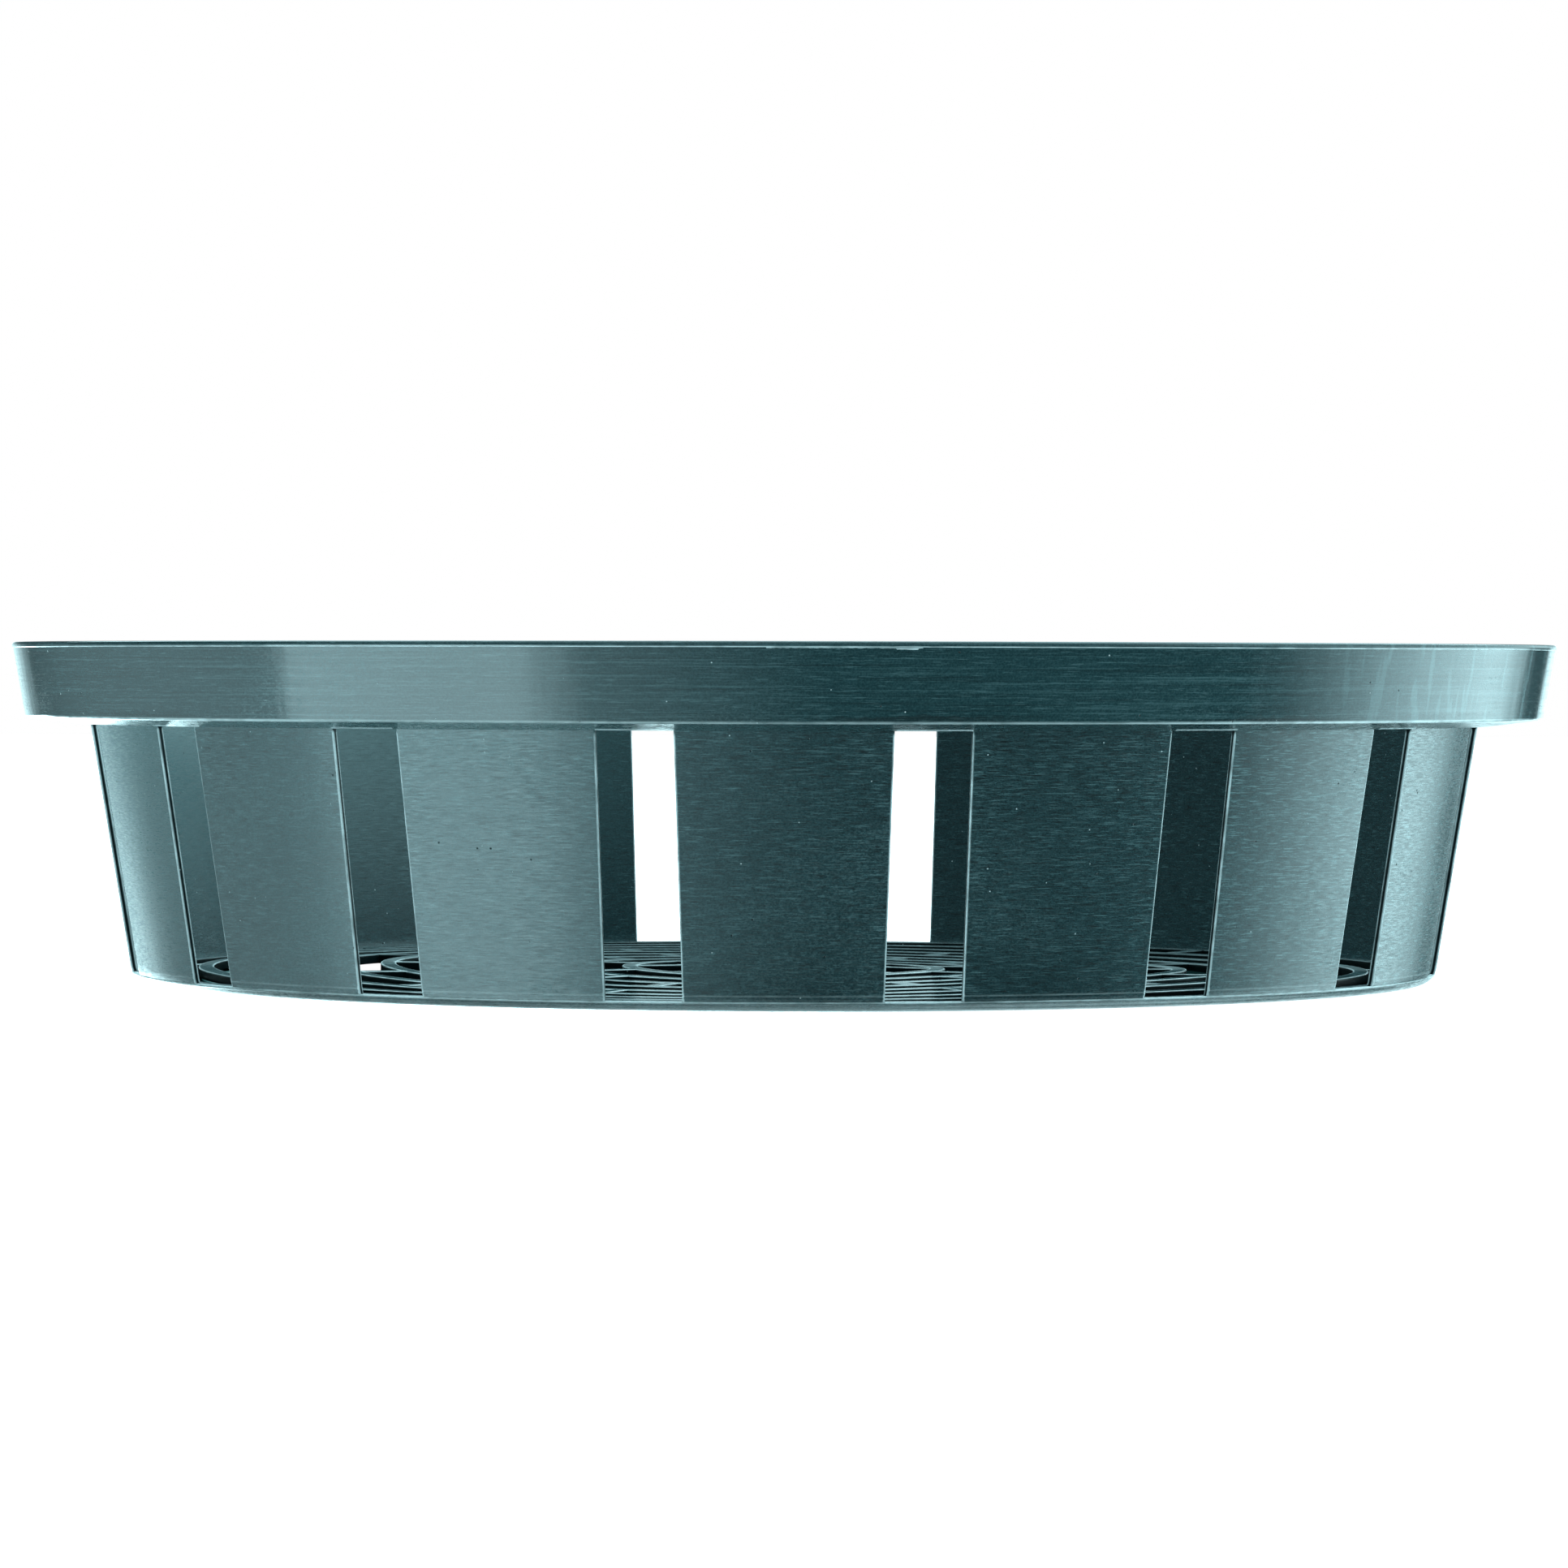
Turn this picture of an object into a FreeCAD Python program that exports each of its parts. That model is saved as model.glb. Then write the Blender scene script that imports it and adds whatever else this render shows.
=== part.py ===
import FreeCAD, Part
import math
import os

# Round bulb planting basket, one moulded piece of plastic.
# Millimetres, +Z up, the underside of the floor on z = 0, the axis on x = y = 0.

# Heights
RIM_TOP = 61.0
LIP_HEIGHT = 1.0
BAND_BOTTOM = 47.6
SHELF_BOTTOM = 46.1
FLOOR_TOP = 1.7

# Outside radii
BAND_TOP_RADIUS = 139.8
BAND_BOTTOM_RADIUS = 137.6
WALL_TOP_RADIUS = 125.9
WALL_BOTTOM_RADIUS = 118.3

# Skin, lip and the rounding of the foot
SKIN = 1.1
LIP_PROUD = 0.2
FOOT_ROUND = 3.0

# Side slots, parallel-sided, with a wall panel facing the front.
# Each runs from the floor up to a shallow notch under the shelf.
SLOT_COUNT = 16
SLOT_WIDTH = 13.1
SLOT_NOTCH = 0.3

# Floor of rings joined by short webs, each row of webs turned half a step
FLOOR_BORDER = 3.6
OPENING_DEPTH = 8.2
RING_WIDTH = 2.8
HUB_LEAST_RADIUS = 7.0
WEB_COUNT = 8
WEB_WIDTH = 2.4


def meet(a, b, c, d):
    """Point where the line through a and b crosses the line through c and d."""
    ux, uz = b[0] - a[0], b[1] - a[1]
    vx, vz = d[0] - c[0], d[1] - c[1]
    s = ((c[0] - a[0]) * vz - (c[1] - a[1]) * vx) / (ux * vz - uz * vx)
    return (a[0] + s * ux, a[1] + s * uz)


def shifted(point, dr, dz):
    return (point[0] + dr, point[1] + dz)


def section_corners():
    """Corners of the half section with their roundings: floor, wall, shelf, band, lip."""
    wall_low = (WALL_BOTTOM_RADIUS, 0.0)
    wall_high = (WALL_TOP_RADIUS, SHELF_BOTTOM)
    band_low = (BAND_BOTTOM_RADIUS, BAND_BOTTOM)
    band_high = (BAND_TOP_RADIUS, RIM_TOP - LIP_HEIGHT)

    inner_wall = (shifted(wall_low, -SKIN, 0), shifted(wall_high, -SKIN, 0))
    inner_shelf = (shifted(wall_high, 0, SKIN), shifted(band_low, 0, SKIN))
    inner_band = (shifted(band_low, -SKIN, 0), shifted(band_high, -SKIN, 0))
    floor_line = ((0.0, FLOOR_TOP), (1.0, FLOOR_TOP))
    top_line = ((0.0, RIM_TOP), (1.0, RIM_TOP))

    return [
        ((0.0, 0.0), 0),
        (wall_low, FOOT_ROUND),
        (wall_high, 0),
        (band_low, 0),
        (band_high, 0),
        (shifted(band_high, LIP_PROUD, 0), 0),
        (shifted(band_high, LIP_PROUD, LIP_HEIGHT), 0),
        (meet(*inner_band, *top_line), 0),
        (meet(*inner_band, *inner_shelf), 0),
        (meet(*inner_shelf, *inner_wall), 0),
        (meet(*inner_wall, *floor_line), 0),
        ((0.0, FLOOR_TOP), 0),
    ]


def rounded_face(corners):
    """Closed outline in the r-z plane with an arc at each corner that has a radius."""
    edges = []
    starts = []
    ends = []
    count = len(corners)
    for i, (point, radius) in enumerate(corners):
        here = FreeCAD.Vector(point[0], 0, point[1])
        before = FreeCAD.Vector(corners[i - 1][0][0], 0, corners[i - 1][0][1])
        after = FreeCAD.Vector(corners[(i + 1) % count][0][0], 0, corners[(i + 1) % count][0][1])
        back = (before - here).normalize()
        on = (after - here).normalize()
        half = back.getAngle(on) / 2
        reach = radius / math.tan(half)
        starts.append(here + back * reach)
        ends.append(here + on * reach)
        if radius:
            bisector = (back + on).normalize()
            middle = here + bisector * (radius / math.sin(half) - radius)
            edges.append(Part.Arc(starts[i], middle, ends[i]).toShape())
    for i in range(count):
        edges.append(Part.makeLine(ends[i - 1], starts[i]))
    return Part.Face(Part.Wire(Part.__sortEdges__(edges)))


def shell():
    """The turned form before any opening is cut."""
    face = rounded_face(section_corners())
    return face.revolve(FreeCAD.Vector(0, 0, 0), FreeCAD.Vector(0, 0, 1), 360)


def side_slots():
    """One straight-sided cutter for each slot in the wall."""
    start = WALL_BOTTOM_RADIUS - SKIN - FOOT_ROUND
    height = SHELF_BOTTOM + SLOT_NOTCH - FLOOR_TOP
    cutters = []
    for i in range(SLOT_COUNT):
        angle = 360.0 / SLOT_COUNT * (i + 0.5) - 90.0
        box = Part.makeBox(BAND_BOTTOM_RADIUS - start, SLOT_WIDTH, height)
        box.translate(FreeCAD.Vector(start, -SLOT_WIDTH / 2, FLOOR_TOP))
        box.rotate(FreeCAD.Vector(0, 0, 0), FreeCAD.Vector(0, 0, 1), angle)
        cutters.append(box)
    return cutters


def window(r_in, r_out, middle):
    """Cutter for one opening between two rings and two webs of even width."""
    half = math.pi / WEB_COUNT
    web = WEB_WIDTH / 2

    def corner(r, side):
        turn = middle + side * (half - math.asin(web / r))
        return FreeCAD.Vector(r * math.cos(turn), r * math.sin(turn), 0)

    def middle_of(r):
        return FreeCAD.Vector(r * math.cos(middle), r * math.sin(middle), 0)

    outer = Part.Arc(corner(r_out, -1), middle_of(r_out), corner(r_out, 1)).toShape()
    inner = Part.Arc(corner(r_in, 1), middle_of(r_in), corner(r_in, -1)).toShape()
    left = Part.makeLine(corner(r_out, 1), corner(r_in, 1))
    right = Part.makeLine(corner(r_in, -1), corner(r_out, -1))
    face = Part.Face(Part.Wire([outer, left, inner, right]))
    return face.extrude(FreeCAD.Vector(0, 0, FLOOR_TOP))


def floor_windows():
    """Rows of openings from the border in to the hub, each turned half a web step."""
    cutters = []
    step = 2 * math.pi / WEB_COUNT
    turn = step / 2
    r_out = WALL_BOTTOM_RADIUS - FLOOR_BORDER
    while r_out - OPENING_DEPTH >= HUB_LEAST_RADIUS:
        for i in range(WEB_COUNT):
            cutters.append(window(r_out - OPENING_DEPTH, r_out, turn + i * step))
        turn = step / 2 - turn
        r_out = r_out - OPENING_DEPTH - RING_WIDTH
    return cutters


def basket():
    return shell().cut(Part.makeCompound(side_slots() + floor_windows()))


os.makedirs("parts", exist_ok=True)
shape = basket()
solid = shape.Solids[0]
print("solids", len(shape.Solids), "valid", solid.isValid(), "faces", len(solid.Faces))
print("volume", round(solid.Volume, 1), "box", solid.BoundBox)
solid.exportStep("parts/basket.step")
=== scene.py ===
# %% [markdown]
# # A bulb planting basket
#
# This lesson dresses the CAD model of a shallow round planting basket: one piece of
# dark blue-green moulded plastic with a deep rim band, tall slots in a tapered wall
# and a floor of thin rings. The CAD solid is exact but its edges are sharp. Here the
# same form is made again with the small roundings, the slight warp and the scuffed
# surface that a used basket has. All sizes are in metres, in the frame of the CAD.

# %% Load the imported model
import math

import bmesh
import bpy
from mathutils import Matrix, Vector, noise


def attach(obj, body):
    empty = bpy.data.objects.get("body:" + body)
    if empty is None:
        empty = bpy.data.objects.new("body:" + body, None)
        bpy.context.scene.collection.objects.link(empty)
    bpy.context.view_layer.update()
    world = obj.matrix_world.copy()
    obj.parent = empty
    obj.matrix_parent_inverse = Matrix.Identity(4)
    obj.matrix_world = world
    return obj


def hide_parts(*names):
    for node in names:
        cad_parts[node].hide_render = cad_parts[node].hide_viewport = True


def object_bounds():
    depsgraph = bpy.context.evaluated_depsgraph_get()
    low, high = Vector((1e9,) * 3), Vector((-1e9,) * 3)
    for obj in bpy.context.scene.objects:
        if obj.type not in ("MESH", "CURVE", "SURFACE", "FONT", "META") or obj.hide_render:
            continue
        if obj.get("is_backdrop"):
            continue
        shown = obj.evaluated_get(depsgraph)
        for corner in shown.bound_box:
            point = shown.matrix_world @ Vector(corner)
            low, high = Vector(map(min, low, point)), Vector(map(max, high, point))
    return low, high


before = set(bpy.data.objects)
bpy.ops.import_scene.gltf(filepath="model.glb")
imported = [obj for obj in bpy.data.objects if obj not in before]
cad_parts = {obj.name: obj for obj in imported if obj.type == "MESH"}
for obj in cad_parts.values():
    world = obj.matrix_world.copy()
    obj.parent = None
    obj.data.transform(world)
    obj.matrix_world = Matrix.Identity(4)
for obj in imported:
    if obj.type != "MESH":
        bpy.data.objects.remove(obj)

MM = 0.001
cad_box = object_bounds()
print("CAD box", [round(v, 4) for corner in cad_box for v in corner])

# %% [markdown]
# ## The sizes
#
# The basket's sizes are written once. Radii are measured on the outside of the wall,
# which leans out as it rises. The shelf is the narrow step under the rim band.

# %% Sizes of the moulding
RIM_TOP = 61.0 * MM
LIP_HEIGHT = 1.0 * MM
LIP_PROUD = 0.2 * MM
BAND_BOTTOM = 47.6 * MM
SHELF_BOTTOM = 46.1 * MM
SLOT_TOP = 46.4 * MM
FLOOR_TOP = 1.7 * MM
BAND_TOP_RADIUS = 139.8 * MM
BAND_BOTTOM_RADIUS = 137.6 * MM
WALL_TOP_RADIUS = 125.9 * MM
WALL_BOTTOM_RADIUS = 118.3 * MM
SKIN = 1.1 * MM
FOOT_ROUND = 3.0 * MM
SLOT_COUNT = 16
SLOT_WIDTH = 13.1 * MM
OPENING_DEPTH = 8.2 * MM
RING_WIDTH = 2.8 * MM
RING_PITCH = OPENING_DEPTH + RING_WIDTH
LATTICE_RADIUS = 114.7 * MM
WEB_COUNT = 8
WEB_WIDTH = 2.4 * MM
ROWS = 10

LIP_BOTTOM = RIM_TOP - LIP_HEIGHT
WALL_LEAN = (WALL_TOP_RADIUS - WALL_BOTTOM_RADIUS) / SHELF_BOTTOM
BAND_LEAN = (BAND_TOP_RADIUS - BAND_BOTTOM_RADIUS) / (LIP_BOTTOM - BAND_BOTTOM)
HUB_RADIUS = LATTICE_RADIUS - OPENING_DEPTH - (ROWS - 1) * RING_PITCH


def wall_radius(z):
    """Outside radius of the leaning wall at a height."""
    return WALL_BOTTOM_RADIUS + WALL_LEAN * z


print("wall leans", round(math.degrees(math.atan(WALL_LEAN)), 2), "degrees")
print("hub radius", round(HUB_RADIUS / MM, 2), "mm")

# %% [markdown]
# ## Drawing a section
#
# A moulded edge is never sharp: the mould's own corners have a small radius, and it
# is this narrow round that catches the light. An outline is drawn as a list of
# corners, each with its radius. The helper puts a few points round each corner and one
# more a little way along each side. These holding points keep the smooth shading of
# the flats true, because the normals only turn between them and the round.

# %% Round the corners of an outline
HOLD = 0.25 * MM


def rounded(corners, steps=4, closed=True):
    """Points of an outline whose corners (x, y, radius) are rounded and held."""
    points = []
    count = len(corners)
    for i, (x, y, radius) in enumerate(corners):
        here = Vector((x, y))
        if not closed and i in (0, count - 1) or radius == 0:
            points.append(here)
            continue
        before = Vector(corners[i - 1][:2]) - here
        after = Vector(corners[(i + 1) % count][:2]) - here
        half = before.angle(after) / 2
        reach = radius / math.tan(half)
        back, on = before.normalized(), after.normalized()
        middle = here + (back + on).normalized() * (radius / math.sin(half))
        start, end = here + back * reach, here + on * reach
        if before.length > reach + 2 * HOLD:
            points.append(here + back * (reach + HOLD))
        turn = (start - middle).angle_signed(end - middle)
        for k in range(steps + 1):
            spoke = (start - middle).copy()
            spoke.rotate(Matrix.Rotation(-turn * k / steps, 2))
            points.append(middle + spoke)
        if after.length > reach + 2 * HOLD:
            points.append(here + on * (reach + HOLD))
    return points


def drawing(name, loops):
    """An object whose mesh is nothing but lines: each loop is (points, closed)."""
    mesh = bpy.data.meshes.new(name)
    places, edges = [], []
    for points, closed in loops:
        first = len(places)
        places += [(p[0], p[1], p[2] if len(p) > 2 else 0.0) for p in points]
        last = len(points) - 1
        edges += [(first + i, first + i + 1) for i in range(last)]
        if closed:
            edges.append((first + last, first))
    mesh.from_pydata(places, edges, [])
    obj = bpy.data.objects.new(name, mesh)
    bpy.context.collection.objects.link(obj)
    return obj


square = [(0, 0, MM), (10 * MM, 0, MM), (10 * MM, 10 * MM, MM), (0, 10 * MM, MM)]
print("a square with round corners has", len(rounded(square)), "points")

# %% [markdown]
# ## Wiring helper
#
# Geometry Nodes and shader nodes are wired in the same way, so one small helper
# serves both. It adds a node, sets its options and plugs in sockets or plain values.
# Its other methods are the few sums that come back all the time: a product, a sum,
# what is left of one, a ramp, and a number or a colour mixed from two.

# %% Node helper
# Places of a colour mix's sockets
MIX_SHARE, MIX_FIRST, MIX_SECOND, MIX_RESULT = 0, 6, 7, 2


class Bench:
    """Adds nodes to one tree. An input may be given a socket or a value."""

    def __init__(self, tree):
        self.tree = tree

    def add(self, kind, *ins, **options):
        node = self.tree.nodes.new(kind)
        named = options.pop("named", {})
        for key, value in options.items():
            setattr(node, key, value)
        for place, value in list(enumerate(ins)) + list(named.items()):
            if value is None:
                continue
            if isinstance(value, bpy.types.NodeSocket):
                self.tree.links.new(value, node.inputs[place])
            else:
                node.inputs[place].default_value = value
        return node

    def plug(self, socket, target):
        self.tree.links.new(socket, target)

    def math(self, operation, *ins, clamp=False):
        return self.add("ShaderNodeMath", *ins, operation=operation, use_clamp=clamp).outputs[0]

    def vector(self, operation, *ins):
        return self.add("ShaderNodeVectorMath", *ins, operation=operation).outputs[0]

    def vector_number(self, operation, *ins):
        """A length or a dot product, which are numbers."""
        return self.add("ShaderNodeVectorMath", *ins, operation=operation).outputs["Value"]

    def times(self, *values):
        product = values[0]
        for value in values[1:]:
            product = self.math("MULTIPLY", product, value)
        return product

    def plus(self, *values):
        total = values[0]
        for value in values[1:]:
            total = self.math("ADD", total, value)
        return total

    def rest(self, share):
        """What is left of one."""
        return self.math("SUBTRACT", 1.0, share)

    def ramp(self, value, start, end, low=0.0, high=1.0, curve="LINEAR"):
        """Low up to start, high from end on. Start may be above end."""
        step = self.add("ShaderNodeMapRange", value, start, end, low, high,
                        interpolation_type=curve)
        return step.outputs["Result"]

    def blend(self, share, first, second):
        """A number mixed from two by a share."""
        gap = self.math("SUBTRACT", second, first)
        return self.plus(first, self.times(share, gap))

    def tinted(self, share, first, second):
        """A colour mixed from two by a share."""
        places = {MIX_SHARE: share, MIX_FIRST: first, MIX_SECOND: second}
        return self.add("ShaderNodeMix", data_type="RGBA", named=places).outputs[MIX_RESULT]


def geometry_bench(name, inputs):
    """A new Geometry Nodes tree with a geometry in and out and the named inputs."""
    tree = bpy.data.node_groups.new(name, "GeometryNodeTree")
    tree.is_modifier = True
    tree.interface.new_socket("Geometry", in_out="OUTPUT", socket_type="NodeSocketGeometry")
    tree.interface.new_socket("Geometry", in_out="INPUT", socket_type="NodeSocketGeometry")
    for label, kind in inputs.items():
        tree.interface.new_socket(label, in_out="INPUT", socket_type="NodeSocket" + kind)
    bench = Bench(tree)
    bench.given = bench.add("NodeGroupInput").outputs
    return bench


def send_out(bench, geometry):
    bench.add("NodeGroupOutput", geometry)


def grow(obj, bench, **values):
    """Put the tree on the object and set its inputs by their identifiers."""
    modifier = obj.modifiers.new(bench.tree.name, "NODES")
    modifier.node_group = bench.tree
    for item in bench.tree.interface.items_tree:
        key = item.name.replace(" ", "_")
        if item.in_out == "INPUT" and key in values:
            modifier[item.identifier] = values[key]
    return obj


def settled(obj):
    """Replace the object's mesh and modifiers by the finished mesh."""
    depsgraph = bpy.context.evaluated_depsgraph_get()
    mesh = bpy.data.meshes.new_from_object(obj.evaluated_get(depsgraph))
    obj.modifiers.clear()
    obj.data = mesh
    return obj


def measured(obj):
    """Volume, open edges and triangles of a mesh, to see that it is closed."""
    work = bmesh.new()
    work.from_mesh(obj.data)
    open_edges = sum(1 for e in work.edges if len(e.link_faces) != 2)
    volume = work.calc_volume(signed=True)
    triangles = sum(len(f.verts) - 2 for f in work.faces)
    work.free()
    return round(volume / MM ** 3), open_edges, triangles


def extents(obj):
    """Lowest, then highest x, y and z of a mesh, in millimetres."""
    places = [v.co for v in obj.data.vertices]
    return [round(end(p[axis] for p in places) / MM, 2) for end in (min, max) for axis in range(3)]


print("node helper ready")

# %% [markdown]
# ## Turned parts
#
# The rim and the foot are the same all the way round, like a pot on a wheel. Their
# section is swept round a circle. Modelling by hand, one would use the Screw
# modifier. A Curve to Mesh node does the same and keeps the section and the number
# of steps apart, so both can be changed at any time. The section is drawn at its true
# distance from the axis, so it is first moved in by the radius of the circle.

# %% The turning tree
STEPS_ROUND = 360
SWEEP_RADIUS = 100 * MM
turning = geometry_bench("turning", {"Circle Radius": "Float", "Steps Round": "Int"})
section = turning.add("GeometryNodeMeshToCurve", turning.given["Geometry"]).outputs[0]
inward = turning.times(turning.given["Circle Radius"], -1.0)
offset = turning.add("ShaderNodeCombineXYZ", inward).outputs[0]
moved = turning.add("GeometryNodeTransform", section, named={"Translation": offset}).outputs[0]
wheel = turning.add("GeometryNodeCurvePrimitiveCircle", turning.given["Steps Round"],
                    named={"Radius": turning.given["Circle Radius"]}).outputs[0]
turned = turning.add("GeometryNodeCurveToMesh", wheel, moved).outputs[0]
welded = turning.add("GeometryNodeMergeByDistance", turned, named={"Distance": MM / 1000})
send_out(turning, welded.outputs[0])


def turned_part(name, points, closed=True, steps=STEPS_ROUND):
    """Turn a section given as (radius, height). The sweep has its second axis down."""
    down = [Vector((r, -z)) for r, z in points]
    twice_area = sum(a.cross(b) for a, b in zip(down, down[1:] + down[:1]))
    if twice_area < 0:
        down.reverse()
    part = grow(drawing(name, [(down, closed)]), turning, Circle_Radius=SWEEP_RADIUS,
                Steps_Round=steps)
    settled(part)
    print(name, "volume mm3, open edges, triangles:", measured(part))
    return part


# %% [markdown]
# ## The rim
#
# One section holds the shelf, the slanted band and the lip on top of it. The lip
# stands a little proud of the band and its top is well rounded, which is why a thin
# light line runs round the basket just under the top edge.

# %% The rim's section
NOTCH_ROUND = 0.15 * MM
SHELF_ROUND = 0.5 * MM
LIP_UNDER_ROUND = 0.1 * MM
LIP_OUTER_ROUND = 0.6 * MM
LIP_INNER_ROUND = 0.35 * MM
INNER_WALL_ROUND = 0.4 * MM
shelf_lean = (BAND_BOTTOM - SHELF_BOTTOM) / (BAND_BOTTOM_RADIUS - WALL_TOP_RADIUS)
notch_radius = WALL_TOP_RADIUS + (SLOT_TOP - SHELF_BOTTOM) / shelf_lean
band_foot = BAND_BOTTOM_RADIUS - SKIN
shelf_at_axis = SHELF_BOTTOM + SKIN - shelf_lean * WALL_TOP_RADIUS
band_at_axis = BAND_BOTTOM - band_foot / BAND_LEAN
inner_shelf_radius = (shelf_at_axis - band_at_axis) / (1 / BAND_LEAN - shelf_lean)
inner_shelf_height = shelf_at_axis + shelf_lean * inner_shelf_radius
inner_wall_height = SHELF_BOTTOM + SKIN - shelf_lean * SKIN
rim_section = rounded([
    (wall_radius(SLOT_TOP) - SKIN, SLOT_TOP, NOTCH_ROUND),
    (notch_radius, SLOT_TOP, NOTCH_ROUND),
    (BAND_BOTTOM_RADIUS, BAND_BOTTOM, SHELF_ROUND),
    (BAND_TOP_RADIUS, LIP_BOTTOM, 0),
    (BAND_TOP_RADIUS + LIP_PROUD, LIP_BOTTOM, LIP_UNDER_ROUND),
    (BAND_TOP_RADIUS + LIP_PROUD, RIM_TOP, LIP_OUTER_ROUND),
    (BAND_TOP_RADIUS - SKIN + BAND_LEAN * LIP_HEIGHT, RIM_TOP, LIP_INNER_ROUND),
    (inner_shelf_radius, inner_shelf_height, SHELF_ROUND),
    (wall_radius(inner_wall_height) - SKIN, inner_wall_height, INNER_WALL_ROUND),
])
rim = turned_part("rim_part", rim_section)

# %% [markdown]
# ## The flash under the lip
#
# At the front, plastic has crept between the mould's parts and left a thin ragged fin
# under the lip. It is a strip with an uneven lower edge, and its upper edge lies
# inside the lip. The last part hangs lower, where the fin was torn. Its turn round the
# axis is in degrees from the front, and the torn stretch is in shares of its length.

# %% The ragged fin
FIN_FROM, FIN_TO, FIN_STEPS = -1.2, 9.2, 150
TORN_FROM, TORN_TO = 0.83, 0.97
LEAST_DROP, RAGGED_DROP, TORN_DROP = 0.04, 0.16, 0.25
FIN_BACK, FIN_FRONT, FIN_TOP = 139.5 * MM, 139.94 * MM, 60.2 * MM
fin_mesh = bpy.data.meshes.new("fin_part")
fin_places, fin_faces = [], []
for k in range(FIN_STEPS + 1):
    along = k / FIN_STEPS
    angle = math.radians(FIN_FROM + (FIN_TO - FIN_FROM) * along)
    slow = noise.noise(Vector((k * 0.23, 0.0, 4.7)))
    quick = noise.noise(Vector((k * 0.9, 3.0, 0.0)))
    ragged = 0.5 + 0.5 * slow + 0.3 * quick
    torn = TORN_DROP if TORN_FROM < along < TORN_TO else 0.0
    fin_foot = LIP_BOTTOM - (LEAST_DROP + RAGGED_DROP * max(ragged, 0.0) + torn) * MM
    for radius, z in ((FIN_BACK, FIN_TOP), (FIN_BACK, fin_foot),
                      (FIN_FRONT, fin_foot), (FIN_FRONT, FIN_TOP)):
        fin_places.append((radius * math.sin(angle), -radius * math.cos(angle), z))
for k in range(FIN_STEPS):
    for c in range(4):
        a, b = 4 * k + c, 4 * k + (c + 1) % 4
        fin_faces.append((a + 4, b + 4, b, a))
fin_faces += [(0, 1, 2, 3), tuple(4 * FIN_STEPS + c for c in (3, 2, 1, 0))]
fin_mesh.from_pydata(fin_places, [], fin_faces)
fin = bpy.data.objects.new("fin_part", fin_mesh)
bpy.context.collection.objects.link(fin)
print("fin volume mm3, open edges, triangles:", measured(fin))

# %% [markdown]
# ## The foot
#
# Below the slots the wall runs into a low ring with a well rounded outside corner.
# The ring is the border of the floor as well. The mould's two halves met on its top
# outside edge and left a low bead there, a tenth of a millimetre proud.

# %% The foot's section
BEAD = 0.12 * MM
BEAD_ROUND = 0.05 * MM
FOOT_TOP_ROUND = 0.12 * MM
BORDER_ROUND = 0.2 * MM
ARC_TOP, BEAD_BOTTOM, ARC_STEPS = 1.15 * MM, 1.3 * MM, 8
foot_centre = WALL_BOTTOM_RADIUS - FOOT_ROUND * math.tan((math.pi / 2 - math.atan(WALL_LEAN)) / 2)


def foot_radius(z):
    """Outside radius of the rounded foot corner at a height."""
    return foot_centre + math.sqrt(FOOT_ROUND ** 2 - (FOOT_ROUND - z) ** 2)


arc_end = math.asin((ARC_TOP - FOOT_ROUND) / FOOT_ROUND)
foot_arc = []
for k in range(ARC_STEPS + 1):
    angle = -math.pi / 2 + (arc_end + math.pi / 2) * k / ARC_STEPS
    foot_arc.append(Vector((foot_centre + FOOT_ROUND * math.cos(angle),
                            FOOT_ROUND + FOOT_ROUND * math.sin(angle))))
foot_top = rounded([
    (foot_arc[-1][0], foot_arc[-1][1], 0),
    (foot_radius(BEAD_BOTTOM) + BEAD, BEAD_BOTTOM, BEAD_ROUND),
    (foot_radius(FLOOR_TOP) + BEAD, FLOOR_TOP, FOOT_TOP_ROUND),
    (LATTICE_RADIUS, FLOOR_TOP, BORDER_ROUND),
    (LATTICE_RADIUS, 0, BORDER_ROUND),
    (foot_centre, 0, 0),
], closed=False)
foot = turned_part("foot_part", foot_arc + foot_top[1:-1])

# %% [markdown]
# ## The wall panels
#
# The wall between two slots is a curved panel. The slots have parallel sides, so a
# panel is wider at the top than at the bottom. One panel is a flat strip with rounded
# long edges, swept up the leaning wall, then bent round the axis. The bend also
# widens it with the radius. Sixteen instances stand round the axis.

# %% The panel tree
panels_tree = geometry_bench("wall panels", {
    "Panels": "Int", "Slot Width": "Float", "Drawn Half Width": "Float"})
given = panels_tree.given
is_rail = panels_tree.add("GeometryNodeInputNamedAttribute", "rail", data_type="BOOLEAN")
parts = panels_tree.add("GeometryNodeSeparateGeometry", given["Geometry"],
                        is_rail.outputs["Attribute"]).outputs
rail = panels_tree.add("GeometryNodeMeshToCurve", parts["Selection"]).outputs[0]
strip = panels_tree.add("GeometryNodeMeshToCurve", parts["Inverted"]).outputs[0]
swept = panels_tree.add("GeometryNodeCurveToMesh", rail, strip, named={"Fill Caps": True}).outputs[0]
place = panels_tree.add("GeometryNodeInputPosition").outputs[0]
xyz = panels_tree.add("ShaderNodeSeparateXYZ", place).outputs
wall_here = panels_tree.add("GeometryNodeInputNamedAttribute", "wall_radius").outputs["Attribute"]
out_here = panels_tree.plus(wall_here, xyz[0])
half_share = panels_tree.math("DIVIDE", math.pi, given["Panels"])
half_slot = panels_tree.times(given["Slot Width"], 0.5)
slot_turn = panels_tree.math("ARCSINE", panels_tree.math("DIVIDE", half_slot, out_here))
reach = panels_tree.math("SUBTRACT", half_share, slot_turn)
across = panels_tree.math("DIVIDE", xyz[1], given["Drawn Half Width"])
turn = panels_tree.times(across, reach)
bent = panels_tree.add("ShaderNodeCombineXYZ",
                       panels_tree.times(out_here, panels_tree.math("COSINE", turn)),
                       panels_tree.times(out_here, panels_tree.math("SINE", turn)),
                       xyz[2]).outputs[0]
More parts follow.
